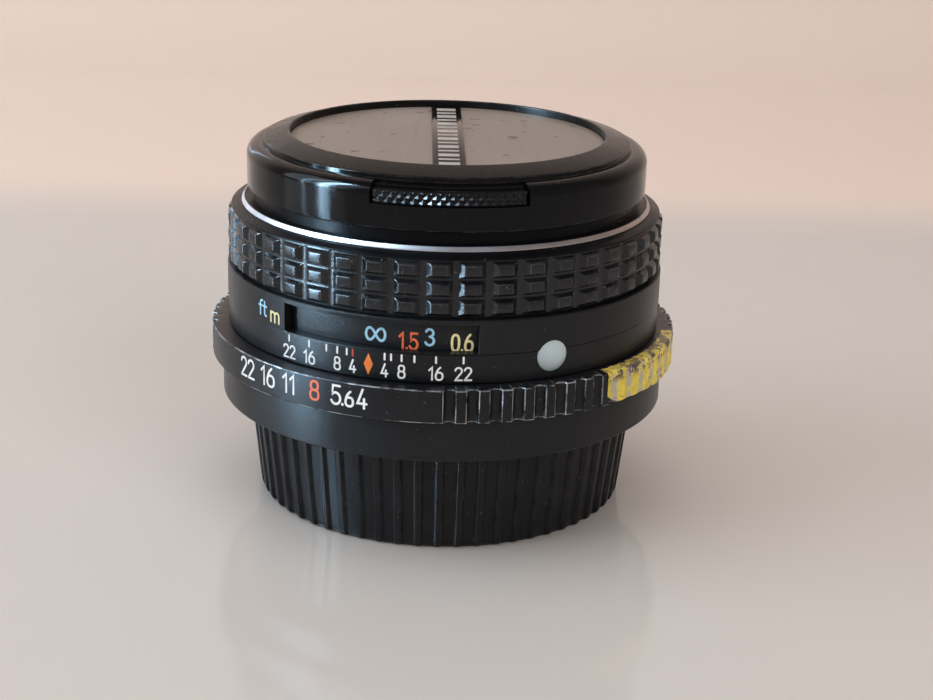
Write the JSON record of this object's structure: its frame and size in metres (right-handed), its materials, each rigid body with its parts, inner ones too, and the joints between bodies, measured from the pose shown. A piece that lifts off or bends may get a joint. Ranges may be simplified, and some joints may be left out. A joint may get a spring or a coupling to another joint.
{
  "type": "prime camera lens",
  "caption": "Compact manual wide-angle prime lens with aperture ring, depth scale, distance window, ribbed rubber focusing grip, squeeze-clip front cap and ribbed rear cap.",
  "frame": {"origin": "centre of the rear cap's underside, on the optical axis", "axes": "+Z along the optical axis towards the front element; -Y faces the aperture and focus indexes"},
  "size_m": [0.063, 0.063, 0.0497],
  "materials": {
    "black_anodised": "satin black anodised",
    "bright_aluminium": "satin",
    "mount_steel": "satin chrome",
    "bare_steel": "bright",
    "blackened_steel": "matte black",
    "cam_brass": "machined",
    "grip_rubber": "semi-matte",
    "optical_glass": "polished, coated",
    "cap_plastic": "gloss",
    "cap_disc_plastic": "fine matte",
    "rear_cap_plastic": "satin",
    "bead_plastic": "milky gloss",
    "label_film": "worn film"
  },
  "bodies": {
    "barrel": {"mount_plate": "mount_steel", "mount_screws": "bare_steel", "rear_barrel": "black_anodised", "guide_tube": "black_anodised", "retaining_ring": "black_anodised", "depth_scale_ring": "black_anodised", "window_sleeve": "black_anodised", "alignment_bead": "bead_plastic", "click_ball": "bare_steel", "click_spring": "bare_steel"},
    "aperture": {"aperture_ring": "black_anodised", "aperture_tab": "bare_steel", "label_sticker": "label_film"},
    "linkage": {"linkage_ring": "bare_steel", "stop_down_lever": "bare_steel", "lever_spring": "bare_steel"},
    "optics": {"lens_barrel": "black_anodised", "cam_rollers": "cam_brass", "front_barrel": "black_anodised", "front_barrel_screws": "bare_steel", "bright_ring": "bright_aluminium", "filter_ring": "black_anodised", "front_bezel": "black_anodised", "front_cell": "black_anodised", "front_retaining_ring": "black_anodised", "rear_cell": "black_anodised", "element_spacers": "black_anodised", "rear_retaining_ring": "black_anodised", "lens_element_1": "optical_glass", "lens_element_2": "optical_glass", "lens_element_3": "optical_glass", "lens_element_4": "optical_glass", "lens_element_5": "optical_glass", "lens_element_6": "optical_glass", "lens_element_7": "optical_glass", "lens_element_8": "optical_glass", "iris_housing": "black_anodised", "iris_retainer": "black_anodised"},
    "iris_cam": {"iris_cam_ring": "blackened_steel"},
    "focus": {"cam_tube": "cam_brass", "distance_drum": "black_anodised", "grip_base": "black_anodised", "grip_set_screws": "bare_steel", "rubber_grip": "grip_rubber", "nose_ring": "black_anodised"},
    "front_cap": {"cap_body": "cap_plastic", "cap_disc": "cap_disc_plastic", "cap_strip": "cap_plastic", "cap_spring_front": "bare_steel", "cap_spring_rear": "bare_steel"},
    "clip_front": {"cap_clip_front": "cap_plastic"},
    "clip_rear": {"cap_clip_rear": "cap_plastic"},
    "rear_cap": {"rear_cap": "rear_cap_plastic"},
    "blade_1": {"iris_blade_1": "blackened_steel"},
    "blade_2": {"iris_blade_2": "blackened_steel"},
    "blade_3": {"iris_blade_3": "blackened_steel"},
    "blade_4": {"iris_blade_4": "blackened_steel"},
    "blade_5": {"iris_blade_5": "blackened_steel"},
    "blade_6": {"iris_blade_6": "blackened_steel"}
  },
  "joints": [
    {"name": "focus_turn", "type": "hinge", "parent": "barrel", "child": "focus", "pos_m": [0, 0, 0.036], "axis": [0, 0, 1], "range_deg": [-72, 0]},
    {"name": "optics_slide", "type": "slide", "parent": "barrel", "child": "optics", "axis": [0, 0, 1], "range_m": [0, 0.00227], "stiffness_N_per_m": 20, "springref_m": 0.031},
    {"name": "aperture_turn", "type": "hinge", "parent": "barrel", "child": "aperture", "pos_m": [0, 0, 0.022], "axis": [0, 0, 1], "range_deg": [0, 34.1]},
    {"name": "linkage_turn", "type": "hinge", "parent": "barrel", "child": "linkage", "pos_m": [0, 0, 0.0185], "axis": [0, 0, 1], "range_deg": [0, 34.2], "deforming": ["lever_spring"]},
    {"name": "iris_cam_turn", "type": "hinge", "parent": "optics", "child": "iris_cam", "pos_m": [0, 0, 0.0282], "axis": [0, 0, 1], "range_deg": [0, 34.2]},
    {"name": "blade_1_turn", "type": "hinge", "parent": "optics", "child": "blade_1", "pos_m": [0.0096, 0, 0.027], "axis": [0, 0, 1], "range_deg": [0, 25.3]},
    {"name": "blade_2_turn", "type": "hinge", "parent": "optics", "child": "blade_2", "pos_m": [0.0048, 0.00831, 0.027], "axis": [0, 0, 1], "range_deg": [0, 25.3]},
    {"name": "blade_3_turn", "type": "hinge", "parent": "optics", "child": "blade_3", "pos_m": [-0.0048, 0.00831, 0.027], "axis": [0, 0, 1], "range_deg": [0, 25.3]},
    {"name": "blade_4_turn", "type": "hinge", "parent": "optics", "child": "blade_4", "pos_m": [-0.0096, 0, 0.027], "axis": [0, 0, 1], "range_deg": [0, 25.3]},
    {"name": "blade_5_turn", "type": "hinge", "parent": "optics", "child": "blade_5", "pos_m": [-0.0048, -0.00831, 0.027], "axis": [0, 0, 1], "range_deg": [0, 25.3]},
    {"name": "blade_6_turn", "type": "hinge", "parent": "optics", "child": "blade_6", "pos_m": [0.0048, -0.00831, 0.027], "axis": [0, 0, 1], "range_deg": [0, 25.3]},
    {"name": "front_cap_pull", "type": "slide", "parent": "optics", "child": "front_cap", "axis": [0, 0, 1], "range_m": [0, 0.012]},
    {"name": "cap_clip_front_squeeze", "type": "slide", "parent": "front_cap", "child": "clip_front", "axis": [0, 1, 0], "range_m": [0, 0.0015], "stiffness_N_per_m": 600, "springref_m": -0.0015, "deforming": ["cap_spring_front"]},
    {"name": "cap_clip_rear_squeeze", "type": "slide", "parent": "front_cap", "child": "clip_rear", "axis": [0, -1, 0], "range_m": [0, 0.0015], "stiffness_N_per_m": 600, "springref_m": -0.0015, "deforming": ["cap_spring_rear"]},
    {"name": "rear_cap_pull", "type": "slide", "parent": "barrel", "child": "rear_cap", "axis": [0, 0, -1], "range_m": [0, 0.012]}
  ],
  "couplings": [
    {"joint": "optics_slide", "follows": "focus_turn", "m_per_rad": -0.0017985},
    {"joint": "linkage_turn", "follows": "aperture_turn", "ratio": 1},
    {"joint": "iris_cam_turn", "follows": "aperture_turn", "ratio": 1},
    {"joint": "blade_1_turn", "follows": "aperture_turn", "ratio": 0.739},
    {"joint": "blade_2_turn", "follows": "aperture_turn", "ratio": 0.739},
    {"joint": "blade_3_turn", "follows": "aperture_turn", "ratio": 0.739},
    {"joint": "blade_4_turn", "follows": "aperture_turn", "ratio": 0.739},
    {"joint": "blade_5_turn", "follows": "aperture_turn", "ratio": 0.739},
    {"joint": "blade_6_turn", "follows": "aperture_turn", "ratio": 0.739}
  ]
}
